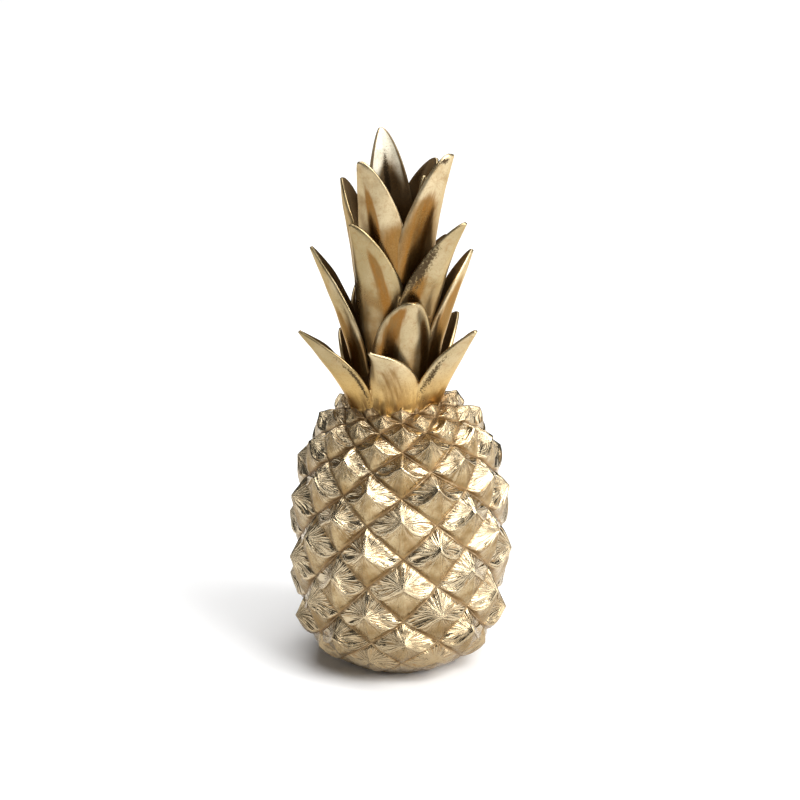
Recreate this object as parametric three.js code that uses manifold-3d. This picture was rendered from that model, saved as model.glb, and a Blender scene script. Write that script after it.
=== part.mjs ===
// Pineapple ornament: one gilded resin casting of a pineapple fruit with its crown of leaves.
// Millimetres, +Z up. The origin is the centre of the flat underside, and the front faces -Y.
import * as THREE from "three";
import { mergeVertices } from "three/addons/utils/BufferGeometryUtils.js";
import Module from "manifold-3d";

// Driving dimensions of the fruit, in millimetres.
const FRUIT_DIAMETER = 92; // over the tips of the widest scales
const FRUIT_HEIGHT = 116; // underside to the neck, where the crown starts
const SCALE_RISE = 5; // tip of a scale above the grooves round it
const LIP_STEP = 1.1; // drop from the lip of a scale's upper half to its lower half
const SCALES_PER_RING = 9;

// Driving dimensions of the crown, in millimetres.
const CROWN_HEIGHT = 109; // neck to the tip of the tallest leaf
const CROWN_REACH = 40; // crown's axis to the tip of the leaf that spreads furthest
const CROWN_SHIFT = -2.2; // the crown stands this far off the fruit's axis, along X
const STEM_RADIUS = 13.5; // the solid stem inside the leaves
const STEM_FLARE = 5; // what the stem gains in radius where it grows out of the fruit
const LEAF_WIDTH = 26; // of the broadest leaf
const LEAF_THICKNESS = 2.3; // along a leaf's middle
const LEAF_EDGE = 1.1; // at its edges and tip

// The groove surface: [radius as a share of the fruit's radius in the grooves, height as a share of
// the fruit's height], a point for every second ring of grooves from the neck down to the foot.
const FIRST_RING = -8;
const GROOVE_PROFILE = [
  [0.2, 1.005],
  [0.38, 0.99],
  [0.535, 0.957],
  [0.75, 0.88],
  [0.945, 0.724],
  [1.01, 0.513],
  [0.985, 0.276],
  [0.88, 0.092],
  [0.45, -0.018],
];
const TOP_SCALE_RING = -6; // the smallest scales, under the leaves
const LAST_SCALE_RING = 6; // the flattened scales at the foot
const BOTTOM_RING = 7; // below this the grooves have run out
const RING_LIFT = 1.4; // the rings stand this much higher at +X than on the axis, halfway up
const FRONT_TURN = 2; // degrees that the front column of grooves is turned off -Y

// A scale's own shape, as shares of its height (down, from its top corner) and half width (across).
const TIP_DOWN = 0.37; // where its tip stands
const TIP_SLIP = 0.1; // how much further down the tip stands near the neck, where the scales droop
const LIP_SAG = 0.16; // how far the lip hangs below a straight line from tip to side corner
const LIP_SHARE = 0.035; // of the step under the lip, down the scale
const ACROSS = [-1, -2 / 3, -1 / 3, 0, 1 / 3, 2 / 3, 1];

// The leaves in whorls, from the neck up. root: where the whorl's leaves start, as a share of the
// crown's height above the neck. spread: how far out, as a share of the stem's radius. lean: 1 for
// leaves that lean out evenly, more for leaves that stand up first and lean out later. Each leaf:
// [turn of its root from the front, turn of its tip, its tip's distance from the crown's axis as a
// share of the reach, its tip's height as a share of the crown's, its width as a share of the
// broadest leaf's, how sharply it narrows: 0.5 for a round tip, 1 for straight edges to a point].
// Turns are in degrees, from the front towards +X.
const WHORLS = [
  {
    root: -0.04,
    spread: 1.33,
    lean: 1.2,
    leaves: [
      [1, -20, 0.74, 0.25, 0.86, 1.0],
      [64, 60, 0.94, 0.305, 0.98, 0.8],
      [121, 123, 0.77, 0.265, 0.84, 0.7],
      [178, 176, 0.8, 0.25, 0.86, 0.66],
      [-124, -128, 0.7, 0.2, 0.86, 0.7],
      [-66, -76, 0.99, 0.275, 0.96, 0.84],
    ],
  },
  {
    root: 0.04,
    spread: 1.13,
    lean: 1.35,
    leaves: [
      [13, 17, 0.63, 0.43, 0.96, 0.5],
      [88, 98, 0.79, 0.55, 0.92, 0.68],
      [155, 157, 0.76, 0.5, 0.8, 0.66],
      [-140, -162, 0.77, 0.4, 0.8, 0.66],
      [-84, -92, 0.84, 0.57, 0.86, 0.74],
    ],
  },
  {
    root: 0.15,
    spread: 1.06,
    lean: 1.5,
    leaves: [
      [-25, -43, 0.64, 0.715, 0.93, 0.58],
      [46, 55, 0.86, 0.725, 0.96, 0.62],
      [125, 128, 0.68, 0.57, 0.84, 0.66],
      [-160, -160, 0.65, 0.68, 0.88, 0.62],
    ],
  },
  {
    root: 0.31,
    spread: 1.03,
    lean: 1.5,
    leaves: [
      [-19, -38, 0.56, 0.95, 0.84, 0.52],
      [44, 68, 0.62, 0.955, 0.88, 0.34],
      [138, 120, 0.49, 0.885, 1.0, 0.6],
      [-170, -152, 0.3, 1.0, 0.84, 0.56],
      [-100, -112, 0.57, 0.815, 0.86, 0.58],
      [66, 78, 0.3, 0.855, 0.56, 0.6],
    ],
  },
];
const STEM_TOP = 0.64; // the floor of the cup between the top leaves, as a share of the crown's height
const SECTION_STEPS = 4; // across a leaf
const LENGTH_STEPS = 6; // along a leaf

const RING_COLUMNS = 2 * SCALES_PER_RING;
const GROOVE_RADIUS = FRUIT_DIAMETER / 2 - SCALE_RISE;
const wasm = await Module();
wasm.setup();

// A value from -1 to 1 that belongs to a place in the pattern, the same on every run.
function scatter(column, ring, which) {
  const x = Math.sin(column * 12.9898 + ring * 78.233 + which * 37.719) * 43758.5453;
  return 2 * (x - Math.floor(x)) - 1;
}

// Catmull-Rom through the groove profile: [radius, height] at a ring number that needn't be whole.
function grooveAt(ring) {
  const last = GROOVE_PROFILE.length - 1;
  const place = (ring - FIRST_RING) / 2;
  const i = Math.min(Math.max(Math.floor(place), 0), last - 1);
  const s = place - i;
  const at = (k) => GROOVE_PROFILE[Math.min(Math.max(k, 0), last)];
  return [0, 1].map((axis) => {
    const [p0, p1, p2, p3] = [at(i - 1)[axis], at(i)[axis], at(i + 1)[axis], at(i + 2)[axis]];
    const bend = 2 * p0 - 5 * p1 + 4 * p2 - p3;
    const twist = 3 * p1 - p0 - 3 * p2 + p3;
    const share = 0.5 * (2 * p1 + (p2 - p0) * s + bend * s ** 2 + twist * s ** 3);
    return share * (axis ? FRUIT_HEIGHT : GROOVE_RADIUS);
  });
}

// How much of the full rise the scales have at a ring: less towards the neck, none at the foot.
function riseShare(ring) {
  const neck = THREE.MathUtils.smoothstep(ring, TOP_SCALE_RING - 1.5, 0);
  const foot = 1 - THREE.MathUtils.smoothstep(ring, LAST_SCALE_RING - 1.2, BOTTOM_RING);
  return (0.35 + 0.65 * neck) * foot;
}

// A point of the fruit's skin, from column and ring with the rise of the scale at that place.
function skinPoint(column, ring, rise) {
  const [radius, height] = grooveAt(ring);
  const [r0, z0] = grooveAt(ring - 0.05);
  const [r1, z1] = grooveAt(ring + 0.05);
  const slope = Math.hypot(r1 - r0, z1 - z0);
  const out = (z0 - z1) / slope;
  const up = (r1 - r0) / slope;
  const turn = THREE.MathUtils.degToRad(FRONT_TURN) + (column * Math.PI) / SCALES_PER_RING;
  const reach = radius + rise * out;
  const level = (height / FRUIT_HEIGHT) * (1 - height / FRUIT_HEIGHT) * 4;
  const lift = RING_LIFT * Math.sin(turn) * Math.max(level, 0);
  return [reach * Math.sin(turn), -reach * Math.cos(turn), height + rise * up + lift];
}

// The same column counted from 0 up to RING_COLUMNS, wherever the count round the fruit began.
function columnRound(column) {
  return THREE.MathUtils.euclideanModulo(column, RING_COLUMNS);
}

// Where a corner of the groove lattice has been nudged by the modeller's hand, in columns and rings.
function cornerNudge(column, ring) {
  const c = columnRound(column);
  return [0.09 * scatter(c, ring, 1), 0.08 * scatter(c, ring, 2)];
}

// How far down a scale its lip lies: a line from the tip to the side corner, with a hanging lobe.
function lipDown(w) {
  const side = Math.abs(w);
  return TIP_DOWN + (0.5 - TIP_DOWN) * side + LIP_SAG * Math.sin(Math.PI * side);
}

// The rise of a scale at a place: w runs -1 to 1 across, t runs 0 to 1 down, below says which side
// of the lip. Above the lip the skin climbs straight from the groove; below, it falls to the groove.
function scaleRise(w, t, below) {
  const side = Math.abs(w);
  const lip = lipDown(w);
  const crest = 1 - side;
  const step = (LIP_STEP / SCALE_RISE) * Math.min(1, 0.35 + 2.5 * side) * (1 - side);
  if (!below) return crest * Math.min(1, (t - side / 2) / (lip - side / 2));
  return (crest - step) * Math.min(1, (1 - side / 2 - t) / (1 - side / 2 - lip - LIP_SHARE * crest));
}

// The skin of the fruit over one scale: columns of points from its upper edge over the lip to its
// lower edge. column and ring are its middle.
function scaleSkin(column, ring, triangles) {
  const corners = [
    [column, ring - 1],
    [column + 1, ring],
    [column - 1, ring],
    [column, ring + 1],
  ].map(([c, r]) => cornerNudge(c, r));
  const slip = TIP_SLIP * (1 - THREE.MathUtils.smoothstep(ring, TOP_SCALE_RING - 0.5, 0));
  const ownRise = SCALE_RISE * (1 + 0.1 * scatter(columnRound(column), ring, 3)) * riseShare(ring);
  const place = (w, t, rise) => {
    const a = t + w / 2;
    const b = t - w / 2;
    const shares = [(1 - a) * (1 - b), a * (1 - b), (1 - a) * b, a * b];
    const nudge = [0, 1].map((k) => shares.reduce((sum, share, i) => sum + share * corners[i][k], 0));
    const top = Math.abs(w) / 2;
    const slipped = t + 4 * slip * (t - top) * (1 - top - t);
    return skinPoint(column + w + nudge[0], ring - 1 + 2 * slipped + nudge[1], rise * ownRise);
  };
  const columns = ACROSS.map((w) => {
    const side = Math.abs(w);
    if (side === 1) return [place(w, 0.5, 0)];
    const top = side / 2;
    const lip = lipDown(w);
    const foot = lip + LIP_SHARE * (1 - side);
    const bottom = 1 - side / 2;
    return [
      place(w, top, 0),
      place(w, lip, scaleRise(w, lip, false)),
      place(w, foot, scaleRise(w, foot, true)),
      place(w, (foot + bottom) / 2, scaleRise(w, (foot + bottom) / 2, true)),
      place(w, bottom, 0),
    ];
  });
  for (let i = 0; i + 1 < columns.length; i++) {
    const [left, right] = [columns[i], columns[i + 1]];
    if (left.length === 1) {
      for (let k = 0; k + 1 < right.length; k++) triangles.push(left[0], right[k + 1], right[k]);
    } else if (right.length === 1) {
      for (let k = 0; k + 1 < left.length; k++) triangles.push(left[k], left[k + 1], right[0]);
    } else {
      for (let k = 0; k + 1 < left.length; k++) {
        if (i < columns.length / 2 - 1) {
          triangles.push(left[k], left[k + 1], right[k + 1], left[k], right[k + 1], right[k]);
        } else {
          triangles.push(left[k], left[k + 1], right[k], left[k + 1], right[k + 1], right[k]);
        }
      }
    }
  }
  return columns;
}

// A closed solid from a flat list of triangle corners.
function solidFrom(triangles) {
  const geometry = new THREE.BufferGeometry();
  geometry.setAttribute("position", new THREE.Float32BufferAttribute(triangles.flat(), 3));
  return solidOf(geometry);
}

function solidOf(geometry) {
  geometry.deleteAttribute("normal");
  geometry.deleteAttribute("uv");
  const merged = mergeVertices(geometry, 1e-3);
  return new wasm.Manifold(
    new wasm.Mesh({
      numProp: 3,
      vertProperties: new Float32Array(merged.attributes.position.array),
      triVerts: new Uint32Array(merged.index.array),
    }),
  );
}

// The whole fruit: rings of scales, closed on the axis above the neck and under the foot, then
// cut flat at the underside.
function fruit() {
  const triangles = [];
  const firstRing = TOP_SCALE_RING;
  const lastRing = FIRST_RING + 2 * (GROOVE_PROFILE.length - 1) - 1;
  const neckPoint = [0, 0, grooveAt(firstRing)[1]];
  const footPoint = [0, 0, grooveAt(lastRing + 1)[1]];
  for (let ring = firstRing; ring <= lastRing; ring++) {
    for (let n = 0; n < SCALES_PER_RING; n++) {
      const column = 2 * n + (Math.abs(ring) % 2 ? 0 : 1);
      const columns = scaleSkin(column, ring, triangles);
      for (let i = 0; i + 1 < columns.length; i++) {
        if (ring === firstRing) triangles.push(columns[i][0], columns[i + 1][0], neckPoint);
        if (ring === lastRing) triangles.push(columns[i + 1].at(-1), columns[i].at(-1), footPoint);
      }
    }
  }
  const block = new THREE.BoxGeometry(2 * FRUIT_DIAMETER, 2 * FRUIT_DIAMETER, FRUIT_HEIGHT);
  block.translate(0, 0, -FRUIT_HEIGHT / 2);
  return solidFrom(triangles).subtract(solidOf(block));
}

// The solid stem that carries the leaves, from inside the fruit up to the floor of the top leaves.
function stem() {
  const rise = (share) => FRUIT_HEIGHT + share * CROWN_HEIGHT;
  const outline = [
    [0, rise(-0.08)],
    [STEM_RADIUS + STEM_FLARE, rise(-0.08)],
    [STEM_RADIUS + STEM_FLARE, rise(0.02)],
    [STEM_RADIUS + 0.3 * STEM_FLARE, rise(0.14)],
    [STEM_RADIUS, rise(0.3)],
    [0.93 * STEM_RADIUS, rise(STEM_TOP - 0.05)],
    [0.5 * STEM_RADIUS, rise(STEM_TOP)],
    [0, rise(STEM_TOP)],
  ];
  const turned = new THREE.LatheGeometry(
    outline.map(([r, z]) => new THREE.Vector2(r, z)),
    16,
  );
  turned.rotateX(Math.PI / 2);
  turned.translate(CROWN_SHIFT, 0, 0);
  return solidOf(turned);
}

// One leaf: a hollow-faced blade that hugs the stem, then leans out to its tip. u runs along it from
// root to tip and v from edge to edge. Its section is an arc, thick in the middle, thin at the edges.
function leaf({ root, spread, lean }, [turn, tipTurn, reach, height, width, point]) {
  const rad = THREE.MathUtils.degToRad;
  const rootRadius = spread * STEM_RADIUS;
  const rootHeight = FRUIT_HEIGHT + root * CROWN_HEIGHT;
  const angleAt = (u) => rad(turn + (tipTurn - turn) * u * u);
  const middle = (u) => {
    const angle = angleAt(u);
    const radius = rootRadius + (reach * CROWN_REACH - rootRadius) * u ** lean;
    const z = rootHeight + (height - root) * CROWN_HEIGHT * (1.12 * u - 0.12 * u * u);
    return new THREE.Vector3(CROWN_SHIFT + radius * Math.sin(angle), -radius * Math.cos(angle), z);
  };
  const skinAt = (u, v, outer) => {
    const along = middle(Math.min(u + 0.01, 1)).sub(middle(Math.max(u - 0.01, 0))).normalize();
    const across = new THREE.Vector3(Math.cos(angleAt(u)), Math.sin(angleAt(u)), 0);
    across.addScaledVector(along, -across.dot(along)).normalize();
    const out = new THREE.Vector3().crossVectors(across, along);
    const blade = (1 - u ** 2.4) ** point * (0.86 + 0.5 * u * (1 - u));
    const half = Math.max((width * LEAF_WIDTH * blade) / 2, LEAF_EDGE / 2);
    const bend = rad(46 + 10 * Math.sin(Math.PI * u));
    const arc = half / Math.sin(bend);
    const thick = (LEAF_EDGE + (LEAF_THICKNESS - LEAF_EDGE) * (1 - v * v)) * (1 - 0.35 * u ** 4);
    const skin = outer ? thick / 2 : -thick / 2;
    return middle(u)
      .addScaledVector(across, (arc + skin) * Math.sin(bend * v))
      .addScaledVector(out, (arc + skin) * Math.cos(bend * v) - arc)
      .toArray();
  };
  const rows = [];
  for (let i = 0; i < LENGTH_STEPS; i++) {
    const u = 1 - (1 - i / LENGTH_STEPS) ** 1.35;
    const row = [];
    for (let k = 0; k <= SECTION_STEPS; k++) row.push(skinAt(u, (2 * k) / SECTION_STEPS - 1, true));
    for (let k = SECTION_STEPS; k >= 0; k--) row.push(skinAt(u, (2 * k) / SECTION_STEPS - 1, false));
    rows.push(row);
  }
  const tip = middle(1).toArray();
  const foot = middle(0).toArray();
  const triangles = [];
  for (let k = 0; k < rows[0].length; k++) {
    const next = (k + 1) % rows[0].length;
    for (let i = 0; i + 1 < rows.length; i++) {
      triangles.push(rows[i][k], rows[i][next], rows[i + 1][next]);
      triangles.push(rows[i][k], rows[i + 1][next], rows[i + 1][k]);
    }
    triangles.push(rows[0][next], rows[0][k], foot, rows.at(-1)[k], rows.at(-1)[next], tip);
  }
  return solidFrom(triangles);
}

function ornament() {
  let whole = fruit().add(stem());
  for (const whorl of WHORLS) {
    for (const one of whorl.leaves) whole = whole.add(leaf(whorl, one));
  }
  const mesh = whole.getMesh();
  const geometry = new THREE.BufferGeometry();
  geometry.setAttribute("position", new THREE.Float32BufferAttribute(mesh.vertProperties, 3));
  geometry.setIndex(Array.from(mesh.triVerts));
  return geometry;
}

const gilding = new THREE.MeshStandardMaterial({ color: 0xc8a860, roughness: 0.32, metalness: 0.9 });
const pineapple = new THREE.Mesh(ornament(), gilding);
pineapple.name = "pineapple";

const part = new THREE.Group();
part.add(pineapple);
export default part;
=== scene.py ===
"""The pineapple ornament dressed for the camera.

One gilded casting: a fruit covered in faceted diamond scales, with a crown of hollow-faced leaves. The
scales and leaves follow the same lattice and blades as the solid model, at a finer step, with the
rolled lips, wrinkles and grooves that the solid leaves out. Metres, +Z up, front towards -Y.
"""
import math

import bmesh
import bpy
import numpy as np
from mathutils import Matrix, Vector


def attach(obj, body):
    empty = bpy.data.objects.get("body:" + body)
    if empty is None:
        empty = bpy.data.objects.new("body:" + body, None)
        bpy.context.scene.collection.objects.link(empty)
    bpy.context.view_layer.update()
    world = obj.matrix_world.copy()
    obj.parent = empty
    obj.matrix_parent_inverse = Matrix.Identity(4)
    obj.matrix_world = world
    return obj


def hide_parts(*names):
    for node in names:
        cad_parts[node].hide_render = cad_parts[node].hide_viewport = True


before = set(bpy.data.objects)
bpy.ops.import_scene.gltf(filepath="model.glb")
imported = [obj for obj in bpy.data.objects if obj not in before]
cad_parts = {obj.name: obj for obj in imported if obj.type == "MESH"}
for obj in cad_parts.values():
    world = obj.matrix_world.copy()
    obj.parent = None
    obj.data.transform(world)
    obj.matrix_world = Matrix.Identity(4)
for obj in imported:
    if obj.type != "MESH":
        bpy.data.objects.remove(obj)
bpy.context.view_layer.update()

MM = 0.001

# Sizes of the fruit, in millimetres.
FRUIT_DIAMETER = 92
FRUIT_HEIGHT = 116
SCALE_RISE = 5
SCALES_PER_RING = 9
LIP_STEP = 1.1
GROOVE_RADIUS = FRUIT_DIAMETER / 2 - SCALE_RISE
GROOVE_DEPTH = 0.75

# The groove surface, a point for every second ring from the neck to the foot: radius as a share of
# the radius in the grooves, height as a share of the fruit's height.
FIRST_RING = -8
GROOVE_PROFILE = np.array([
    (0.2, 1.005),
    (0.38, 0.99),
    (0.535, 0.957),
    (0.75, 0.88),
    (0.945, 0.724),
    (1.01, 0.513),
    (0.985, 0.276),
    (0.88, 0.092),
    (0.45, -0.018),
])
TOP_SCALE_RING = -6
LAST_SCALE_RING = 6
BOTTOM_RING = 7
CLOSING_HEIGHT = 0.99
RING_LIFT = 1.4
FRONT_TURN = 2

# A scale's own shape, as shares of its height and half width.
TIP_DOWN = 0.37
TIP_SLIP = 0.1
LIP_SAG = 0.16
LIP_BEAD = 0.024
GROOVE_REACH = 0.05

# How far the scales stray from the even lattice: the corners across and down, and the rise.
STRAY_ACROSS = 0.09
STRAY_DOWN = 0.08
STRAY_RISE = 0.1

# Folds of the upper half that fan out from the tip: how many, how high as a share of the rise, and how
# many millimetres from the tip they are full.
FOLDS = 12
FOLD_RISE = 0.065
FOLD_START = 8

# The rings over which the skin turns from crumpled at the neck to smooth.
CRUMPLED_RING = -5.5
SMOOTH_RING = -1.5

# How finely a scale is divided: across it, and down its upper half, round its lip, down its lower half.
ACROSS_STEPS = 32
UPPER_STEPS = 10
LIP_STEPS = 3
LOWER_STEPS = 7

# Sizes of the crown, in millimetres, and where the stem ends as a share of the crown's height.
CROWN_HEIGHT = 109
CROWN_REACH = 40
CROWN_SHIFT = -2.2
STEM_RADIUS = 13.5
STEM_FLARE = 5
STEM_TOP = 0.64
LEAF_WIDTH = 26
LEAF_THICKNESS = 2.3
LEAF_EDGE = 1.1

# Half the turn of a leaf's arc in degrees, and what it gains half way up.
LEAF_BEND = 46
LEAF_BEND_GAIN = 10

# The skin of a leaf, in millimetres: the raised outer face, its two hollows, the vein inside, the raised
# rims, and the soft lumps with their length. Relief is full where half the leaf's width is over the
# last size, and the vein reaches over a share of that half.
FACE_RISE = 0.18
HOLLOW_DEPTH = 0.62
SECOND_HOLLOW_DEPTH = 0.4
VEIN_RISE = 0.45
VEIN_REACH = 0.12
RIM_RISE = 0.16
LUMP_RISE = 0.22
LUMP_LENGTH = 14
FULL_RELIEF_AT = 8

# How finely a leaf and the stem are divided.
FACE_STEPS = 20
EDGE_STEPS = 3
LENGTH_STEPS = 28
STEM_STEPS = 48

# The whorls of leaves, as (root height share, spread share, lean, leaves), and each leaf as (turn of its
# root, turn of its tip, reach share, height share, width share, how sharply it narrows). The leaves
# are numbered from 0 in this order.
WHORLS = [
    (-0.04, 1.33, 1.2, [
        (1, -20, 0.74, 0.25, 0.86, 1.0),
        (64, 60, 0.94, 0.305, 0.98, 0.8),
        (121, 123, 0.77, 0.265, 0.84, 0.7),
        (178, 176, 0.8, 0.25, 0.86, 0.66),
        (-124, -128, 0.7, 0.2, 0.86, 0.7),
        (-66, -76, 0.99, 0.275, 0.96, 0.84),
    ]),
    (0.04, 1.13, 1.35, [
        (13, 17, 0.63, 0.43, 0.96, 0.5),
        (88, 98, 0.79, 0.55, 0.92, 0.68),
        (155, 157, 0.76, 0.5, 0.8, 0.66),
        (-140, -162, 0.77, 0.4, 0.8, 0.66),
        (-84, -92, 0.84, 0.57, 0.86, 0.74),
    ]),
    (0.15, 1.06, 1.5, [
        (-25, -43, 0.64, 0.715, 0.93, 0.58),
        (46, 55, 0.86, 0.725, 0.96, 0.62),
        (125, 128, 0.68, 0.57, 0.84, 0.66),
        (-160, -160, 0.65, 0.68, 0.88, 0.62),
    ]),
    (0.31, 1.03, 1.5, [
        (-19, -38, 0.56, 0.95, 0.84, 0.52),
        (44, 68, 0.62, 0.955, 0.88, 0.34),
        (138, 120, 0.49, 0.885, 1.0, 0.6),
        (-170, -152, 0.3, 1.0, 0.84, 0.56),
        (-100, -112, 0.57, 0.815, 0.86, 0.58),
        (66, 78, 0.3, 0.855, 0.56, 0.6),
    ]),
]

# How far up its leaves each whorl's brown roots reach, as shares of their length.
BROWN_ROOTS = [0.26, 0.52, 0.52, 0.78]

# Where the deeper hollow runs up each leaf, from -1 to 1 across its outer face. The shallower one runs
# beside it.
HOLLOW_AT = [
    0.3, -0.5, 0.4, -0.3, 0.5, 0.75,
    -0.5, -0.6, 0.3, -0.4, 0.5,
    0.3, -0.62, 0.4, -0.3,
    -0.42, -0.5, 0.3, 0.4, 0.6, 0.5,
]
HOLLOWS_APART = 1.08
HOLLOW_REACH = 0.24

# How light each leaf's gold is, from 0 to 1.
LEAF_TONES = [
    0.6, 0.6, 0.5, 0.4, 0.5, 0.2,
    0.5, 0.9, 0.5, 0.4, 0.35,
    0.2, 0.35, 0.6, 0.4,
    0.65, 0.85, 0.5, 0.6, 0.3, 0.4,
]

# The leaf whose inner face is painted near-white, a painted highlight, where no painted shade lies. The
# others carry painted shade, brown all over their inner faces.
HIGHLIGHT_INSIDE_LEAF = 18

# Amber washes on the outer faces: leaf, middle across, reach across, lower end, upper end, strength.
WASHES = [
    (0, 0.15, 0.6, -0.2, 0.8, 0.46),
    (1, -0.2, 0.5, -0.2, 0.32, 0.8),
    (2, 0.4, 0.25, -0.2, 0.6, 0.8),
    (3, -0.3, 0.25, -0.2, 0.6, 0.8),
    (4, 0.5, 0.25, -0.2, 0.6, 0.8),
    (5, 0.1, 0.5, -0.2, 0.32, 0.8),
    (6, -0.55, 0.3, -0.2, 0.98, 1.25),
    (6, 0.62, 0.2, -0.2, 0.82, 0.9),
    (7, -0.6, 0.35, -0.2, 0.85, 1),
    (8, 0.3, 0.25, -0.2, 0.8, 0.9),
    (9, -0.4, 0.25, -0.2, 0.8, 0.9),
    (10, 0.3, 0.5, -0.2, 0.55, 1),
    (11, 0.42, 0.2, -0.2, 0.84, 1),
    (12, -0.66, 0.22, -0.2, 0.64, 1),
    (13, 0.4, 0.22, -0.2, 0.8, 1),
    (14, -0.3, 0.22, -0.2, 0.8, 1),
    (15, 0.0, 0.22, 0.4, 0.86, 1.2),
    (15, 0.7, 0.6, -0.2, 0.6, 1),
    (16, -0.5, 0.45, -0.2, 0.8, 1),
    (17, 0.3, 0.25, 0.3, 0.8, 1),
    (19, -0.2, 0.25, -0.2, 0.75, 1),
]

# Near-black smudges, and near-black painted shade on the inner face of the leaf with the painted highlight:
# leaf, middle across and up it, reach across and up it, and the face, 1 for the outer and -1 for the inner
# one.
SMUDGES_AND_SHADE = [
    (1, -0.85, 0.42, 0.12, 0.25, 1),
    (2, 0.7, 0.5, 0.2, 0.2, 1),
    (5, 0.9, 0.35, 0.1, 0.25, 1),
    (9, -0.7, 0.6, 0.2, 0.2, 1),
    (12, -0.88, 0.64, 0.28, 0.2, 1),
    (14, 0.75, 0.55, 0.2, 0.25, 1),
    (15, -0.7, 0.95, 0.25, 0.04, 1),
    (16, -0.7, 0.95, 0.3, 0.02, 1),
    # Painted shade down the middle of the highlighted inner face and low in the cup.
    (18, -0.1, 0.66, 0.16, 0.22, -1),
    (18, -0.2, 0.4, 0.5, 0.16, -1),
]

# The values that every surface carries for its material:
# wash   how thick the brown wash lies, and on a leaf's inner face and the stem how deep the painted shade lies
# facet  1 on a scale's upper half and on a leaf's inner face
# own    one number for each scale or leaf
# climb  the way up a leaf, 1 where its brown root ends
# lip    millimetres below a scale's lip, or how dark the near-black smudges and painted shade on a leaf are
VALUE_NAMES = ("wash", "facet", "own", "climb", "lip")

# The golds and washes, with a painted highlight and a painted shade among them.
FOIL_GOLD = (0.58, 0.475, 0.315, 1)
PALE_GOLD = (0.43, 0.335, 0.19, 1)
DEEP_GOLD = (0.24, 0.163, 0.073, 1)
# A near-white painted highlight, for the one leaf's inner face.
HIGHLIGHT_GOLD = (0.98, 0.92, 0.74, 1)
SATIN_GOLD = (0.50, 0.405, 0.25, 1)
OLIVE_GOLD = (0.30, 0.23, 0.115, 1)
ROOT_GOLD = (0.18, 0.097, 0.028, 1)
HONEY_GOLD = (0.56, 0.36, 0.12, 1)
AMBER = (0.215, 0.09, 0.014, 1)
# A brown painted shade, for the leaves' inner faces and the stem.
SHADE_BROWN = (0.12, 0.07, 0.03, 1)
BROWN_WASH = (0.27, 0.155, 0.052, 1)
# Near-black for the wash, the smudges and a painted shade.
DARK_WASH_AND_SHADE = (0.05, 0.032, 0.016, 1)
WARM_EDGE = (1.0, 0.84, 0.6, 1)

# Depths of the relief that is bump only, in metres.
WRINKLE_DEPTH = 0.0012
MARK_DEPTH = 0.0006
FOIL_DEPTH = 0.00014
SWELL_DEPTH = 0.0005
SPECK_DEPTH = 0.00006

# The photograph's camera, and the studio round the ornament, in metres and watts.
CAMERA_DISTANCE = 1.5
CAMERA_ELEVATION = math.radians(21)
CAMERA_LENS = 165.7
CAMERA_SENSOR = 36
AIM_HEIGHT = 0.1125
FLOOR_SIZE = 12
PAPER_WHITE = 0.95
PAPER_ROUGHNESS = 0.9
AIR_GLOW = 0.09
SOFTBOXES = [
    ("key", (1.15, -0.9, 1.3), 1.25, 49),
    ("top", (0.1, 0.5, 1.8), 1.8, 33),
    ("front", (0.2, -1.3, 1.8), 0.7, 6),
    ("left", (-1.3, -0.6, 0.6), 0.6, 1.5),
    ("right", (1.5, -0.45, 0.4), 0.8, 7),
]


def scatter(column, ring, which):
    """A value from -1 to 1 for a place in the pattern: the fraction of a large sine, spread both ways."""
    x = np.sin(column * 12.9898 + ring * 78.233 + which * 37.719) * 43758.5453
    return 2 * (x - np.floor(x)) - 1


def smoothstep(x, low, high):
    """0 below low, 1 above high, and the cubic 3s2 - 2s3 between. It falls where high is below low."""
    s = np.clip((x - low) / (high - low), 0, 1)
    return s * s * (3 - 2 * s)


def bell(x, middle, reach):
    """1 at the middle, falling to 1/e at the reach: e to the power of minus the square."""
    return np.exp(-((x - middle) / reach) ** 2)


def groove_at(ring):
    """Radius and height of the groove surface: on each stretch of the profile, the cubic through its
    points whose slope at a point is half the step between that point's neighbours."""
    last = len(GROOVE_PROFILE) - 1
    place = (ring - FIRST_RING) / 2
    i = np.clip(np.floor(place), 0, last - 1).astype(int)
    s = (place - i)[..., None]
    p0, p1, p2, p3 = (GROOVE_PROFILE[np.clip(i + k, 0, last)] for k in (-1, 0, 1, 2))
    bend = 2 * p0 - 5 * p1 + 4 * p2 - p3
    twist = 3 * p1 - p0 - 3 * p2 + p3
    share = 0.5 * (2 * p1 + (p2 - p0) * s + bend * s ** 2 + twist * s ** 3)
    return share[..., 0] * GROOVE_RADIUS, share[..., 1] * FRUIT_HEIGHT


def rise_share(ring):
    """How much of the full rise the scales have: less towards the neck, none at the foot."""
    neck = smoothstep(ring, TOP_SCALE_RING - 1.5, 0)
    foot = 1 - smoothstep(ring, LAST_SCALE_RING - 1.2, BOTTOM_RING)
    return (0.35 + 0.65 * neck) * foot


def skin_points(column, ring, rise):
    """Points over the groove surface: out along its normal by the rise, turned by the column, and
    lifted a little towards +X, most at half height."""
    radius, height = groove_at(ring)
    r0, z0 = groove_at(ring - 0.05)
    r1, z1 = groove_at(ring + 0.05)
    slope = np.hypot(r1 - r0, z1 - z0)
    turn = math.radians(FRONT_TURN) + column * math.pi / SCALES_PER_RING
    reach = radius + rise * (z0 - z1) / slope
    level = 4 * (height / FRUIT_HEIGHT) * (1 - height / FRUIT_HEIGHT)
    lift = RING_LIFT * np.sin(turn) * np.maximum(level, 0)
    z = height + rise * (r1 - r0) / slope + lift
    return np.stack([reach * np.sin(turn), -reach * np.cos(turn), z], axis=-1)


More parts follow.
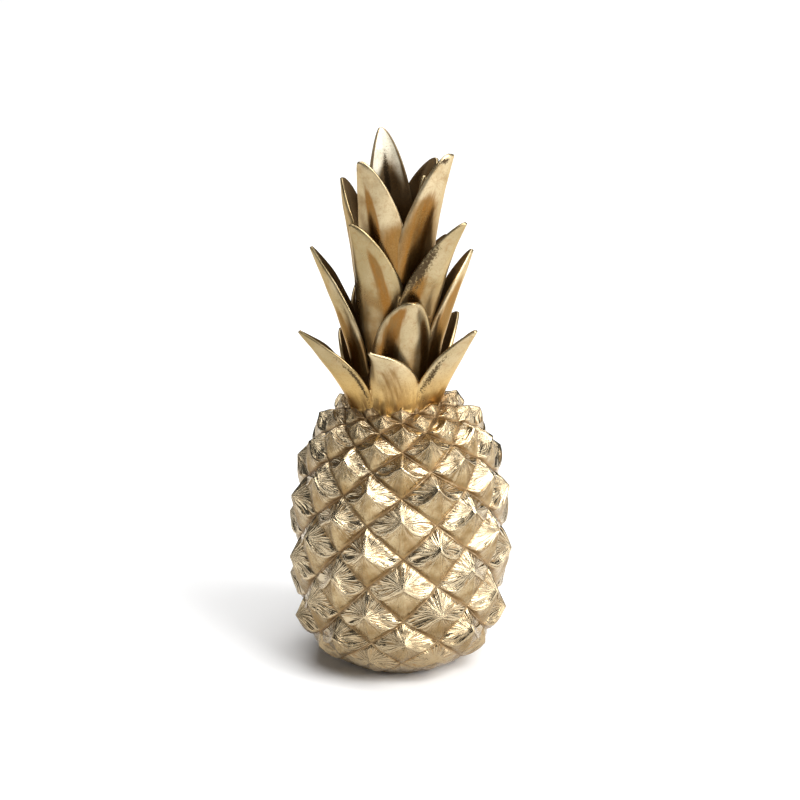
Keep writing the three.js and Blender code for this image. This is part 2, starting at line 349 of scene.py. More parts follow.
def lumps(points, size, seed, waves=9):
    """A soft value near -1 to 1: the mean of sine waves in seeded random directions, about size mm long."""
    draw = np.random.default_rng(seed)
    heading = draw.normal(size=(3, waves))
    heading /= np.linalg.norm(heading, axis=0)
    pitch = 2 * np.pi / (size * draw.uniform(0.7, 1.4, waves))
    start = draw.uniform(0, 2 * np.pi, waves)
    return np.sin(points @ (heading * pitch) + start).mean(axis=-1) * 2


def lip_down(w):
    """How far down a scale its lip lies: a line from tip to side corner, with a hanging lobe."""
    side = np.abs(w)
    return TIP_DOWN + (0.5 - TIP_DOWN) * side + LIP_SAG * np.sin(np.pi * side)


def scale_rows(w):
    """The rows down each column of a scale, as (t, reach of the bead, rise share, half): evenly from the
    top edge to the lip, half a turn round the lip's bead, then evenly down to the bottom edge."""
    side = np.abs(w)
    crest = 1 - side
    top = side / 2
    lip = lip_down(w)
    bottom = 1 - side / 2
    step = LIP_STEP / SCALE_RISE * np.minimum(1, 0.35 + 2.5 * side) * crest
    bead = LIP_BEAD * crest
    rows = []
    for k in range(UPPER_STEPS + 1):
        share = k / UPPER_STEPS
        dish = 0.16 * np.sin(math.pi * share) * np.sin(np.pi * side)
        rows.append((top + (lip - top) * share, 0 * w, crest * share - dish * crest, 1 + 0 * w))
    for k in range(1, LIP_STEPS + 1):
        turn = math.pi * k / LIP_STEPS
        fall = step * (1 - math.cos(turn)) / 2
        rows.append((lip, bead * math.sin(turn), crest - fall, 1 - k / LIP_STEPS + 0 * w))
    for k in range(1, LOWER_STEPS + 1):
        share = k / LOWER_STEPS
        keel = 0.1 * math.sin(math.pi * share) * bell(w, 0, 0.13)
        fall = (crest - step) * (1 - share) ** 0.92
        rows.append((lip + (bottom - lip) * share, 0 * w, fall + keel, 0 * w))
    return (np.stack(column, axis=-1) for column in zip(*rows))


def grid_triangles(count, columns, rows):
    """Two triangles for each cell of count grids of columns by rows, the diagonals mirrored about the
    middle column."""
    start = np.arange(count)[:, None, None] * columns * rows
    i = np.arange(columns - 1)[None, :, None]
    k = np.arange(rows - 1)[None, None, :]
    a = start + i * rows + k
    b = a + 1
    c = a + rows
    d = c + 1
    left = np.broadcast_to(i < (columns - 1) / 2, a.shape)
    one = np.where(left[..., None], np.stack([a, b, d], -1), np.stack([a, b, c], -1))
    two = np.where(left[..., None], np.stack([a, d, c], -1), np.stack([b, d, c], -1))
    return np.concatenate([one.reshape(-1, 3), two.reshape(-1, 3)])


def shell_triangles(count, columns, rows):
    """The triangles of all the scales, and those of a fan above the first ring of scales and a fan
    under the last one. The fans' two middle points follow the scales' points."""
    def edge_of(first_scale, row):
        """The left and right ends of every step across one row of a ring of scales."""
        scale = first_scale + np.arange(SCALES_PER_RING)[:, None]
        start = (scale * columns + np.arange(columns - 1)) * rows + row
        return start.ravel(), start.ravel() + rows

    neck_left, neck_right = edge_of(0, 0)
    foot_left, foot_right = edge_of(count - SCALES_PER_RING, rows - 1)
    middle = np.full(neck_left.size, count * columns * rows)
    return np.concatenate([
        grid_triangles(count, columns, rows),
        np.stack([neck_left, neck_right, middle], -1),
        np.stack([foot_right, foot_left, middle + 1], -1),
    ])


def tube_triangles(rows, count):
    """Two triangles for each cell of a tube of rows of count points each, and a fan at each end. The
    fans' two middle points follow the rows."""
    k = np.arange(count)
    after = (k + 1) % count
    i = np.arange(rows - 1)[:, None] * count
    a, b, c, d = (x.ravel() for x in (i + k, i + after, i + count + after, i + count + k))
    last = (rows - 1) * count
    foot = np.full(count, rows * count)
    return np.concatenate([
        np.stack([a, b, c], -1),
        np.stack([a, c, d], -1),
        np.stack([after, k, foot], -1),
        np.stack([last + k, last + after, foot + 1], -1),
    ])


def fruit_surface():
    """The whole fruit as points, triangles, UV map and values. Every scale is a grid of columns across
    and rows down. It rises from the groove surface to its lip, its corners stray from the even
    lattice, and folds, lumps and grooves are added to its rise."""
    rings = np.arange(TOP_SCALE_RING, BOTTOM_RING + 1)
    ring, n = (x.ravel() for x in np.meshgrid(rings, np.arange(SCALES_PER_RING), indexing="ij"))
    column = 2 * n + (1 - np.abs(ring) % 2)
    around = 2 * SCALES_PER_RING
    across = np.linspace(-1, 1, ACROSS_STEPS + 1)
    t, bead, rise, half = scale_rows(across)
    w = np.broadcast_to(across[:, None], t.shape)
    a = t + w / 2
    b = t - w / 2
    shares = np.stack([(1 - a) * (1 - b), a * (1 - b), (1 - a) * b, a * b])
    corner_column = np.stack([column, column + 1, column - 1, column]) % around
    corner_ring = np.stack([ring - 1, ring, ring, ring + 1])

    def strayed(which, size):
        """How far the corners stray, shared out over each scale."""
        return np.einsum("kcr,ks->scr", shares, size * scatter(corner_column, corner_ring, which))

    def of_scale(which):
        """One random value for each scale."""
        return scatter(column % around, ring, which)[:, None, None]

    level = rise_share(ring)[:, None, None]
    edge = np.minimum(np.minimum(a, b), np.minimum(1 - a, 1 - b))
    groove = bell(edge, 0, GROOVE_REACH)

    # Millimetres from the tip, across and down, and the folds that fan out from it.
    ring_radius, _ = groove_at(ring.astype(float))
    _, z_top = groove_at(ring - 1.0)
    _, z_bottom = groove_at(ring + 1.0)
    wide = (ring_radius * math.pi / SCALES_PER_RING)[:, None, None]
    tall = np.maximum(z_top - z_bottom, 8)[:, None, None]
    x = w * wide
    y = (t - TIP_DOWN) * tall
    angle = np.arctan2(x, -y)
    phase = 3 * of_scale(4)
    fold = np.sin(FOLDS * angle + phase + 1.3 * np.sin(3 * angle + 2 * phase))
    fold *= FOLD_RISE * np.clip(np.hypot(x, y) / FOLD_START, 0, 1) * half * (1 - groove)

    # The points: tips slipped down towards the neck, lips a little ragged, and soft swellings about
    # 9 mm and 3.5 mm long, the finer ones stronger on the crumpled neck.
    slip = TIP_SLIP * (1 - smoothstep(ring, TOP_SCALE_RING - 0.5, 0))[:, None, None]
    ragged = 0.022 * np.sin(5 * w + phase) + 0.014 * np.sin(12 * w + 2 * phase)
    settled = t + 4 * (slip + ragged) * (t - np.abs(w) / 2) * (1 - np.abs(w) / 2 - t)
    at_column = column[:, None, None] + w + strayed(1, STRAY_ACROSS)
    at_ring = ring[:, None, None] - 1 + 2 * (settled + bead * level) + strayed(2, STRAY_DOWN)
    lift = (rise * (1 + STRAY_RISE * of_scale(3)) + fold) * SCALE_RISE * level
    lift -= GROOVE_DEPTH * groove * (0.35 + 0.65 * rise_share(at_ring))
    points = skin_points(at_column, at_ring, lift)
    crumpled = 1 - smoothstep(at_ring, CRUMPLED_RING, SMOOTH_RING)
    swell = lumps(points, 9, 11) * 0.16 + lumps(points, 3.5, 12) * (0.07 + 0.25 * crumpled)
    points = skin_points(at_column, at_ring, lift + swell * (1 - groove * (1 - 0.5 * crumpled)))
    points[..., 2] = np.maximum(points[..., 2], 0)

    # The wash: thick in the grooves, in a line just under the lips, and on the crumpled neck.
    below_lip = t - lip_down(w)
    under_lip = bell(below_lip, 0.03, 0.022) * (half < 0.5)
    wash = groove + 0.8 * under_lip * (1 - np.abs(w)) + 0.7 * crumpled
    facet = np.maximum(half, 0.85 * crumpled)
    values = {"wash": wash, "facet": facet, "own": of_scale(5), "lip": below_lip * tall}
    shape = points.shape[:3]
    values = {name: np.append(np.broadcast_to(value, shape), [1, 1]) for name, value in values.items()}
    uv = np.concatenate([np.stack([x, y], -1).reshape(-1, 2), np.zeros((2, 2))])
    middles = [[0, 0, CLOSING_HEIGHT * FRUIT_HEIGHT], [0, 0, 0]]
    return np.concatenate([points.reshape(-1, 3), middles]), shell_triangles(*shape), uv, values


def leaf_stains_and_shade(number, u, v, side):
    """The wash, the smudges and the painted shade over one leaf. A wash is a bell across the outer face,
    held between two heights. Each of the smudges is a bell across and a bell up one face; on the leaf
    with the painted highlight they are near-black painted shade. The inner face carries painted shade in
    the wash's place: brown all over and more so along its vein, a groove, or on the leaf with the painted
    highlight only in its middle, at its rims and low down."""
    # Painted shade on the inner face: brown all over, or on the leaf with the painted highlight only in its
    # middle, at its rims and low down.
    if number == HIGHLIGHT_INSIDE_LEAF:
        inside = bell(v, -0.1, 0.35) * smoothstep(u, 0.9, 0.6)[:, None]
        inside = inside + 0.8 * bell(np.abs(v), 0.97, 0.05) + 0.8 * smoothstep(u, 0.86, 0.5)[:, None]
    else:
        inside = 0.8 + 0.4 * bell(v, 0, VEIN_REACH)
    wash = np.zeros((len(u), len(v)))
    for leaf, at_v, over_v, low_u, high_u, strength in WASHES:
        if leaf == number:
            held = smoothstep(u, low_u, low_u + 0.15) * smoothstep(u, high_u + 0.08, high_u - 0.16)
            wash = np.maximum(wash, strength * bell(v, at_v, over_v) * held[:, None])
    wash = np.where(side > 0, wash, inside)
    smudge_and_shade = np.zeros_like(wash)
    for leaf, at_v, at_u, over_v, over_u, face in SMUDGES_AND_SHADE:
        if leaf == number:
            spot = bell(v, at_v, over_v) * (side * face > 0) * bell(u, at_u, over_u)[:, None]
            smudge_and_shade = np.maximum(smudge_and_shade, spot)
    return wash, smudge_and_shade


def leaf_surface(root, spread, lean, leaf, number, brown_root):
    """One leaf as a closed tube of sections. Its middle line stands up from the stem and leans out,
    each section is an arc of two faces with round edges, and the width closes to a round tip."""
    turn, tip_turn, reach, height, width, point = leaf
    root_radius = spread * STEM_RADIUS
    root_height = FRUIT_HEIGHT + root * CROWN_HEIGHT
    length = (height - root) * CROWN_HEIGHT

    def angle_at(u):
        """The leaf's turn about the crown's axis, gaining towards the tip."""
        return np.radians(turn + (tip_turn - turn) * u * u)

    def middle(u):
        """Points of the leaf's middle line."""
        angle = angle_at(u)
        radius = root_radius + (reach * CROWN_REACH - root_radius) * u ** lean
        z = root_height + length * (1.12 * u - 0.12 * u * u)
        return np.stack([CROWN_SHIFT + radius * np.sin(angle), -radius * np.cos(angle), z], -1)

    # The way up the leaf (u), and round a section: the outer face, an edge, the inner face, an edge. A
    # place is across (v), on a side (1 outside, -1 inside) and beyond the edge (1 or -1 at its middle).
    u = 1 - (1 - np.arange(LENGTH_STEPS) / LENGTH_STEPS) ** 1.6
    face = np.linspace(-1, 1, FACE_STEPS + 1)
    round_edge = np.linspace(0, math.pi, EDGE_STEPS + 1)[1:-1]
    flat = np.ones(len(face))
    v = np.concatenate([face, np.ones(len(round_edge)), face[::-1], -np.ones(len(round_edge))])
    side = np.concatenate([flat, np.cos(round_edge), -flat, -np.cos(round_edge)])
    beyond = np.concatenate([0 * flat, np.sin(round_edge), 0 * flat, -np.sin(round_edge)])

    # The directions up, across and out of each section.
    along = middle(np.minimum(u + 0.01, 1)) - middle(np.maximum(u - 0.01, 0))
    along /= np.linalg.norm(along, axis=-1, keepdims=True)
    across = np.stack([np.cos(angle_at(u)), np.sin(angle_at(u)), 0 * u], -1)
    across -= along * (across * along).sum(-1, keepdims=True)
    across /= np.linalg.norm(across, axis=-1, keepdims=True)
    out = np.cross(across, along)[:, None, :]
    across = across[:, None, :]

    # The width, the arc and the thickness of each section, and the relief on its skin.
    blade = (1 - u ** 2.4) ** point * (0.86 + 0.5 * u * (1 - u))
    half = np.maximum(width * LEAF_WIDTH * blade / 2, LEAF_EDGE / 2)[:, None]
    bend = np.radians(LEAF_BEND + LEAF_BEND_GAIN * np.sin(np.pi * u))[:, None]
    arc = half / np.sin(bend)
    thick = (LEAF_EDGE + (LEAF_THICKNESS - LEAF_EDGE) * (1 - v * v)) * (1 - 0.35 * u[:, None] ** 4)
    fade = np.sin(np.pi * u[:, None]) ** 0.5
    deeper = HOLLOW_AT[number]
    shallower = deeper - math.copysign(HOLLOWS_APART, deeper)
    outer = FACE_RISE - HOLLOW_DEPTH * bell(v, deeper, HOLLOW_REACH)
    outer = outer - SECOND_HOLLOW_DEPTH * bell(v, shallower, HOLLOW_REACH)
    inner = VEIN_RISE * bell(v, 0, VEIN_REACH)
    relief = np.where(side > 0.99, outer, 0) + np.where(side < -0.99, inner, 0)
    rim = RIM_RISE * side * bell(np.abs(v), 0.93, 0.07)
    skin = side * thick / 2 + (relief * np.minimum(half / FULL_RELIEF_AT, 1) + rim) * fade

    # The points: along the arc, out by the skin, round the edges and over the lumps.
    sweep = (bend * v)[..., None]
    radius = (arc + skin)[..., None]
    points = middle(u)[:, None, :] + across * (radius * np.sin(sweep))
    points += out * (radius * np.cos(sweep) - arc[..., None])
    points += (across * np.cos(sweep) - out * np.sin(sweep)) * (beyond * thick / 2)[..., None]
    points += out * (LUMP_RISE * lumps(points, LUMP_LENGTH, 20 + number) * fade)[..., None]

    def over_leaf(value, at_root, at_tip):
        """A value for every point of the sections, and for the fans' two middle points."""
        return np.append(np.broadcast_to(value, points.shape[:2]), [at_root, at_tip])

    wash, smudge_and_shade = leaf_stains_and_shade(number, u, v, side)
    tone = LEAF_TONES[number]
    values = {
        "wash": over_leaf(wash, 0, 0),
        "facet": over_leaf(0.5 - 0.5 * side, 0.5, 0.5),
        "own": over_leaf(tone, tone, tone),
        "climb": over_leaf(u[:, None], 0, 1) / brown_root,
        "lip": over_leaf(smudge_and_shade, 0, 0),
    }
    uv = np.stack([over_leaf(v * half, 0, 0), over_leaf(u[:, None] * length, 0, length)], -1)
    triangles = tube_triangles(*points.shape[:2])
    points = np.concatenate([points.reshape(-1, 3), middle(np.array([0.0, 1.0]))])
    return points, triangles, uv, values


def stem_surface():
    """The stem: a profile of radius and height turned round the crown's axis, closed at both ends."""
    def rise(share):
        """The height of a share of the crown, in millimetres."""
        return FRUIT_HEIGHT + share * CROWN_HEIGHT

    radius, height = np.array([
        (STEM_RADIUS + STEM_FLARE, rise(-0.08)),
        (STEM_RADIUS + STEM_FLARE, rise(0.02)),
        (STEM_RADIUS + 0.3 * STEM_FLARE, rise(0.14)),
        (STEM_RADIUS, rise(0.3)),
        (0.93 * STEM_RADIUS, rise(STEM_TOP - 0.05)),
        (0.5 * STEM_RADIUS, rise(STEM_TOP)),
    ]).T[:, :, None]
    turn = np.linspace(0, 2 * np.pi, STEM_STEPS, endpoint=False)
    x = CROWN_SHIFT + radius * np.sin(turn)
    y = -radius * np.cos(turn)
    points = np.stack([x, y, np.broadcast_to(height, x.shape)], -1).reshape(-1, 3)
    middles = [[CROWN_SHIFT, 0, height[0, 0]], [CROWN_SHIFT, 0, height[-1, 0]]]
    points = np.concatenate([points, middles])
    # The stem counts as an inner face with a thick wash value, so it takes the painted shade, brown all
    # over.
    values = {"wash": np.full(len(points), 0.8), "facet": np.ones(len(points))}
    return points, tube_triangles(len(radius), STEM_STEPS), points[:, :2].copy(), values


def new_object(name, surface, material):
    """An object from a surface in millimetres: doubles within a micrometre become one point, and
    triangles that have closed up are dropped. The values and the UV map sit on the corners."""
    points, triangles, uv, values = surface
    _, first, index = np.unique(np.round(points, 3), axis=0, return_index=True, return_inverse=True)
    merged = index.ravel()[triangles]
    a, b, c = merged.T
    whole = (a != b) & (b != c) & (c != a)
    merged = merged[whole]
    corners = triangles[whole].ravel()
    mesh = bpy.data.meshes.new(name)
    mesh.vertices.add(len(first))
    mesh.vertices.foreach_set("co", (points[first] * MM).astype(np.float32).ravel())
    mesh.loops.add(merged.size)
    mesh.loops.foreach_set("vertex_index", merged.astype(np.int32).ravel())
    mesh.polygons.add(len(merged))
    mesh.polygons.foreach_set("loop_start", np.arange(0, merged.size, 3, dtype=np.int32))
    mesh.update(calc_edges=True)
    layer = mesh.uv_layers.new(name="tip")
    layer.data.foreach_set("uv", uv[corners].astype(np.float32).ravel())
    for key in VALUE_NAMES:
        value = values.get(key, np.zeros(len(points)))
        attribute = mesh.attributes.new(key, "FLOAT", "CORNER")
        attribute.data.foreach_set("value", value[corners].astype(np.float32))
    mesh.validate()
    mesh.materials.append(material)
    obj = bpy.data.objects.new(name, mesh)
    bpy.context.collection.objects.link(obj)
    return obj


def joined(base, others):
    """The base with the others added to it as one closed skin, by one union after another."""
    for other in others:
        union = base.modifiers.new(other.name, "BOOLEAN")
        union.operation = "UNION"
        union.solver = "MANIFOLD"
        union.material_mode = "TRANSFER"
        union.object = other
    seen = base.evaluated_get(bpy.context.evaluated_depsgraph_get())
    mesh = bpy.data.meshes.new_from_object(seen)
    base.modifiers.clear()
    base.data = mesh
    for other in others:
        bpy.data.objects.remove(other)
    return base


def drop_bubbles(mesh):
    """Leaves only the shell with the most points, so that no closed bubble stays inside the casting:
    each point takes the lowest number among its neighbours until none changes."""
    edges = np.empty(2 * len(mesh.edges), np.int32)
    mesh.edges.foreach_get("vertices", edges)
    one, other = edges[0::2], edges[1::2]
    shell = np.arange(len(mesh.vertices))
    while True:
        lower = shell.copy()
        np.minimum.at(lower, one, shell[other])
        np.minimum.at(lower, other, shell[one])
        lower = lower[lower]
        if (lower == shell).all():
            break
        shell = lower
    stray = shell != np.bincount(shell).argmax()
    whole = bmesh.new()
    whole.from_mesh(mesh)
    whole.verts.ensure_lookup_table()
    bmesh.ops.delete(whole, geom=[whole.verts[i] for i in np.flatnonzero(stray)], context="VERTS")
    whole.to_mesh(mesh)
    whole.free()


def add(tree, kind, settings=None, **inputs):
    """One shader node: settings are its own fields, and each input is a value or another node's socket."""
    node = tree.nodes.new("ShaderNode" + kind)
    for field, value in (settings or {}).items():
        setattr(node, field, value)
    for name, value in inputs.items():
        place = int(name[1:]) if name[0] == "i" and name[1:].isdigit() else name.replace("_", " ")
        socket = node.inputs[place]
        if isinstance(value, bpy.types.NodeSocket):
            tree.links.new(value, socket)
        else:
            socket.default_value = value
    return node


def calc(tree, operation, first, *others):
    """The result of a Math node, or of a chain of them where there are more than two values."""
    if not others:
        return add(tree, "Math", {"operation": operation}, i0=first).outputs[0]
    for other in others:
        first = add(tree, "Math", {"operation": operation}, i0=first, i1=other).outputs[0]
    return first


def times(tree, *values):
    """The product of the values."""
    return calc(tree, "MULTIPLY", *values)


def most(tree, *values):
    """The largest of the values."""
    return calc(tree, "MAXIMUM", *values)


def rest(tree, value):
    """What the value lacks to 1."""
    return calc(tree, "SUBTRACT", 1.0, value)


def swing(tree, noise, size):
    """The noise turned about its middle, so that it swings to both signs, times a size."""
    return times(tree, calc(tree, "SUBTRACT", noise, 0.5), size)


def from_middle(tree, noise):
    """How far the noise is from its middle, which makes narrow valleys where it crosses it."""
    return calc(tree, "ABSOLUTE", calc(tree, "SUBTRACT", noise, 0.5))


def ramp(tree, value, low, high, bottom=0.0, top=1.0):
    """A value carried smoothly from one range to another, held at both ends."""
    settings = {"interpolation_type": "SMOOTHSTEP"}
    node = add(tree, "MapRange", settings, Value=value, i1=low, i2=high, i3=bottom, i4=top)
    return node.outputs["Result"]


def grain(tree, place, size, detail=3, rough=0.55, distortion=0.0):
    """Noise whose features are about size long, in the units of the place."""
    shape = {"Scale": 1 / size, "Detail": detail, "Roughness": rough, "Distortion": distortion}
    return add(tree, "TexNoise", None, Vector=place, **shape).outputs["Fac"]


def vector(tree, x, y, z):
    """Three values as one place."""
    return add(tree, "CombineXYZ", None, X=x, Y=y, Z=z).outputs["Vector"]


def blend(tree, share, one, other):
    """One colour turning into another as the share goes from 0 to 1."""
    return add(tree, "Mix", {"data_type": "RGBA"}, i0=share, i6=one, i7=other).outputs[2]


def value_of(tree, name):
    """One of the surface's own values."""
    return add(tree, "Attribute", {"attribute_name": name}).outputs["Fac"]


def metal(name):
    """An empty gilding: its material, tree and shader, its object coordinates and their height, and the
    surface's two UV directions."""
    material = bpy.data.materials.new(name)
    material.use_nodes = True
    tree = material.node_tree
    place = add(tree, "TexCoord").outputs["Object"]
    height = add(tree, "SeparateXYZ", None, Vector=place).outputs["Z"]
    uv = add(tree, "UVMap", {"uv_map": "tip"}).outputs["UV"]
    parts = add(tree, "SeparateXYZ", None, Vector=uv).outputs
    return material, tree, tree.nodes["Principled BSDF"], place, height, parts["X"], parts["Y"]


def finish_metal(tree, shader, colour, rough, metallic, heights):
    """Joins colour, roughness and metallic to the shader, and the heights, each with its depth in
    metres, as bumps one on another."""
    tree.links.new(colour, shader.inputs["Base Color"])
    tree.links.new(rough, shader.inputs["Roughness"])
    tree.links.new(metallic, shader.inputs["Metallic"])
    under = {}
    for height, depth in heights:
        bump = add(tree, "Bump", None, Height=height, Strength=1.0, Distance=depth, **under)
        under = {"Normal": bump.outputs["Normal"]}
    tree.links.new(under["Normal"], shader.inputs["Normal"])


def scale_gilding():
    """Foil-bright gold for the scales. Wrinkles fan out from each tip over the upper half, spill over
    the lip in streaks, and on some scales turn along it. Faint brush marks run down the lower half. A
    brown wash lies in the grooves, under the lips and in the deepest wrinkles. Towards the foot the gold
    is painted deeper, a painted shade."""
    material, tree, shader, place, height, across, down = metal("scale gilding")
    own = value_of(tree, "own")
    wash = value_of(tree, "wash")
    below_lip = value_of(tree, "lip")

    # Places in polar coordinates about the tip, set apart from scale to scale.
    angle = calc(tree, "ARCTAN2", across, times(tree, down, -1.0))
    squares = [calc(tree, "POWER", value, 2.0) for value in (across, down)]
    away = calc(tree, "SQRT", calc(tree, "ADD", *squares))
    apart = times(tree, own, 23.0)
    brush = vector(tree, times(tree, angle, 11.0), times(tree, away, 0.12), apart)
    rays = vector(tree, times(tree, angle, 6.8), times(tree, away, 0.05), apart)
    arcs = vector(tree, times(tree, below_lip, 0.9), times(tree, across, 0.1), apart)

    # Where the foil is: 1 on the upper half, and in streaks below the lip.
    streaks = ramp(tree, grain(tree, brush, 1.0, detail=2), 0.42, 0.58, 0.0, 0.85)
    spill = times(tree, ramp(tree, below_lip, 7.0, 0.3), streaks)
    upper = most(tree, value_of(tree, "facet"), spill)
    lower = rest(tree, upper)

    # The relief: wrinkles as the distance of a noise from its middle, brush marks and crinkled foil.
    ray = from_middle(tree, grain(tree, rays, 1.0, detail=2, rough=0.45, distortion=0.1))
    arc = from_middle(tree, grain(tree, arcs, 1.0, detail=3, distortion=0.25))
    near_lip = times(tree, ramp(tree, below_lip, -3.6, -1.2), ramp(tree, own, -0.2, 0.4))
    wrinkle = add(tree, "Mix", {"data_type": "FLOAT"}, i0=near_lip, i2=ray, i3=arc).outputs[0]
    wrinkle_height = times(tree, wrinkle, upper, ramp(tree, away, 0.3, 4.0, 0.3, 1.0))
    mark = times(tree, grain(tree, brush, 1.0, detail=3), lower)
    foil = grain(tree, place, 0.0022, detail=3, rough=0.6, distortion=0.5)

    # The brown wash: in the wrinkles' valleys, the grooves, and the scratches of the lower half.
    patchy = ramp(tree, grain(tree, place, 0.005, detail=4), 0.38, 0.62, 0.25, 1.0)
    from_tip = ramp(tree, away, 1.0, 5.0, 0.3, 0.95)
    valley = times(tree, ramp(tree, wrinkle, 0.05, 0.01), upper, patchy, from_tip)
    thick_wash = times(tree, wash, ramp(tree, patchy, 0.0, 1.0, 0.6, 1.0))
    groove = ramp(tree, thick_wash, 0.08, 0.9, 0.0, 0.9)
    scratch = ramp(tree, grain(tree, brush, 1.0, detail=4, rough=0.65), 0.42, 0.66, 0.12, 0.62)
    speck = ramp(tree, grain(tree, place, 0.0008, detail=3, rough=0.7), 0.48, 0.64, 0.0, 0.55)
    worn = times(tree, most(tree, times(tree, scratch, patchy), speck), lower)
    brown = most(tree, groove, valley, worn)
    crease = ramp(tree, wash, 0.8, 1.0, 0.0, 0.4)
    spot = ramp(tree, grain(tree, place, 0.0013, detail=4, rough=0.7), 0.58, 0.7, 0.0, 0.6)
    dark = most(tree, times(tree, spot, upper, patchy), crease)

    tone = ramp(tree, grain(tree, place, 0.007, detail=4), 0.35, 0.65)
    gold = blend(tree, times(tree, upper, 0.85), blend(tree, tone, DEEP_GOLD, PALE_GOLD), FOIL_GOLD)
    # Painted shade: the gold turns deeper below 45 mm and most near the floor, where the floor's shade falls
    # on the foot.
    gold = blend(tree, ramp(tree, height, 0.045, 0.008, 0.0, 0.6), gold, DEEP_GOLD)
    colour = blend(tree, dark, blend(tree, brown, gold, BROWN_WASH), DARK_WASH_AND_SHADE)
    rough = calc(tree, "ADD", ramp(tree, upper, 0.0, 1.0, 0.25, 0.14), times(tree, brown, 0.25))
    metallic = ramp(tree, brown, 0.1, 1.0, 1.0, 0.55)
    relief = [(wrinkle_height, WRINKLE_DEPTH), (mark, MARK_DEPTH), (foil, FOIL_DEPTH)]
    finish_metal(tree, shader, colour, rough, metallic, relief)
    return material


def leaf_gilding():
    """Satin gold for the leaves, cloudy from leaf to leaf: amber and brown washes streaked along the leaf,
    brown roots that turn honey gold over the neck, painted shade on the inner faces and the stem, a painted
    highlight on one inner face, and near-black smudges."""
    material, tree, shader, place, height, across, up = metal("leaf gilding")
    inner = value_of(tree, "facet")
    own = value_of(tree, "own")
    wash = value_of(tree, "wash")
    outer = rest(tree, inner)
    along = vector(tree, times(tree, across, 0.45), times(tree, up, 0.06), times(tree, own, 19.0))
    streak = grain(tree, along, 1.0, detail=4, rough=0.6)
    speck = grain(tree, place, 0.0007, detail=3, rough=0.7)
    cloud = grain(tree, place, 0.011, detail=3)
    uneven = swing(tree, streak, 1.1)

    # How much of each finish, painted shade and painted highlight lies at a point, from 0 to 1.
    hollow = times(tree, ramp(tree, calc(tree, "ADD", wash, uneven), 0.25, 0.75), outer)
    rising = calc(tree, "ADD", value_of(tree, "climb"), swing(tree, cloud, 1.6))
    root = ramp(tree, rising, 1.15, 0.45)
    speckle = ramp(tree, calc(tree, "ADD", speck, times(tree, root, 0.06)), 0.5, 0.66)
    smudge_and_shade = calc(tree, "ADD", value_of(tree, "lip"), swing(tree, speck, 1.6), uneven)
    smudge_and_shade = ramp(tree, smudge_and_shade, 0.35, 0.8)
    inside = ramp(tree, inner, 0.5, 0.9)
    # Painted shade: the inner faces and the stem, where their wash value is high.
    shade = times(tree, inside, ramp(tree, wash, 0.1, 0.7))
    # Painted highlight: the inner face of that one leaf, where no painted shade lies.
    bright = calc(tree, "SUBTRACT", inside, shade)
    mottle = ramp(tree, grain(tree, place, 0.004, detail=4, rough=0.6, distortion=0.6), 0.5, 0.72, 0.0, 0.35)
    low = times(tree, ramp(tree, height, 0.138, 0.120), outer)
    honey = times(tree, low, ramp(tree, streak, 0.42, 0.58, 0.0, 0.9))
    # The brown roots and the painted shade lose some metal.
    stain_and_shade = most(tree, shade, times(tree, root, rest(tree, hollow)))

    light = ramp(tree, calc(tree, "ADD", own, swing(tree, cloud, 1.2)), 0.0, 1.0)
    gold = blend(tree, light, OLIVE_GOLD, SATIN_GOLD)
    # The painted highlight turns that inner face near-white.
    gold = blend(tree, bright, gold, HIGHLIGHT_GOLD)
    gold = blend(tree, times(tree, mottle, outer), gold, AMBER)
    gold = blend(tree, times(tree, low, 0.7), gold, HONEY_GOLD)
    colour = blend(tree, times(tree, root, 0.85), gold, blend(tree, honey, ROOT_GOLD, HONEY_GOLD))
    washing = blend(tree, ramp(tree, streak, 0.4, 0.58, 0.0, 0.85), AMBER, ROOT_GOLD)
    colour = blend(tree, times(tree, hollow, 0.92), colour, washing)
    # The painted shade turns the inner faces and the stem brown.
    colour = blend(tree, times(tree, shade, 0.85), colour, SHADE_BROWN)
    colour = blend(tree, times(tree, speckle, 0.35), colour, BROWN_WASH)
    # Near-black smudges, and near-black painted shade on one inner face.
    colour = blend(tree, times(tree, smudge_and_shade, 0.97), colour, DARK_WASH_AND_SHADE)
    rough = ramp(tree, cloud, 0.3, 0.7, 0.27, 0.36)
    # The painted highlight is nearly without metal, so it stays near-white.
    metallic = times(tree, ramp(tree, bright, 0.0, 1.0, 0.97, 0.1), ramp(tree, stain_and_shade, 0.0, 1.0, 1.0, 0.75))
    shader.inputs["Specular Tint"].default_value = WARM_EDGE
    swell = grain(tree, place, 0.009, detail=0)
    finish_metal(tree, shader, colour, rough, metallic, [(swell, SWELL_DEPTH), (speck, SPECK_DEPTH)])
    return material


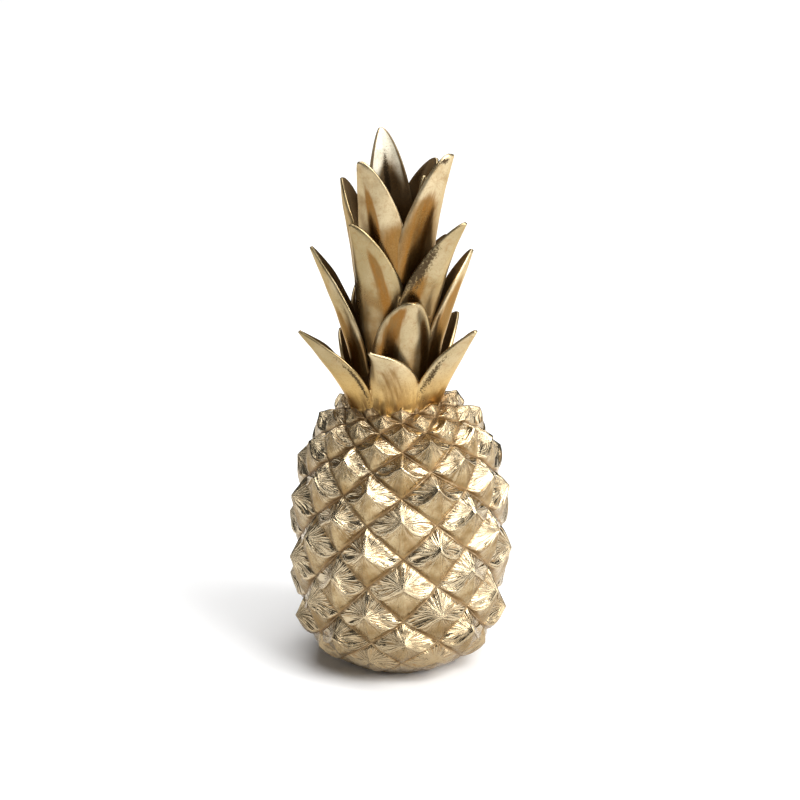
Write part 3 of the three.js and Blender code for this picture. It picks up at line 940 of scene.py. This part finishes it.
def softbox(name, place, size, power):
    """A square area light at a place, facing the middle of the ornament."""
    lamp = bpy.data.lights.new(name, "AREA")
    lamp.size = size
    lamp.energy = power
    light = bpy.data.objects.new(name, lamp)
    light.location = place
    light.rotation_euler = (aim - Vector(place)).to_track_quat("-Z", "Y").to_euler()
    bpy.context.collection.objects.link(light)


fruit_gold = scale_gilding()
leaf_gold = leaf_gilding()

stem = new_object("stem", stem_surface(), leaf_gold)
leaves = []
for (root, spread, lean, whorl), brown_root in zip(WHORLS, BROWN_ROOTS):
    for leaf in whorl:
        number = len(leaves)
        surface = leaf_surface(root, spread, lean, leaf, number, brown_root)
        leaves.append(new_object(f"leaf_{number}", surface, leaf_gold))
crown = joined(stem, leaves)
fruit = new_object("casting", fruit_surface(), fruit_gold)
casting = joined(fruit, [crown])
drop_bubbles(casting.data)
casting.data.shade_smooth()
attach(casting, "root")
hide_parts("pineapple")

bpy.ops.mesh.primitive_plane_add(size=FLOOR_SIZE)
floor = bpy.context.active_object
floor.name = "floor"
paper = bpy.data.materials.new("white paper")
paper.use_nodes = True
sheet = paper.node_tree.nodes["Principled BSDF"]
sheet.inputs["Base Color"].default_value = (PAPER_WHITE, PAPER_WHITE, PAPER_WHITE, 1)
sheet.inputs["Roughness"].default_value = PAPER_ROUGHNESS
floor.data.materials.append(paper)

aim = Vector((0, 0, AIM_HEIGHT))
for name, place, size, power in SOFTBOXES:
    softbox(name, place, size, power)

world = bpy.data.worlds.new("studio")
world.use_nodes = True
air = world.node_tree.nodes["Background"]
air.inputs["Color"].default_value = (1, 1, 1, 1)
air.inputs["Strength"].default_value = AIR_GLOW
bpy.context.scene.world = world

camera = bpy.data.objects.new("camera", bpy.data.cameras.new("camera"))
camera.data.lens = CAMERA_LENS
camera.data.sensor_width = CAMERA_SENSOR
view = Vector((0, -math.cos(CAMERA_ELEVATION), math.sin(CAMERA_ELEVATION)))
camera.location = aim + CAMERA_DISTANCE * view
camera.rotation_euler = (-view).to_track_quat("-Z", "Y").to_euler()
bpy.context.collection.objects.link(camera)
bpy.context.scene.camera = camera
bpy.context.scene.view_settings.view_transform = "Standard"
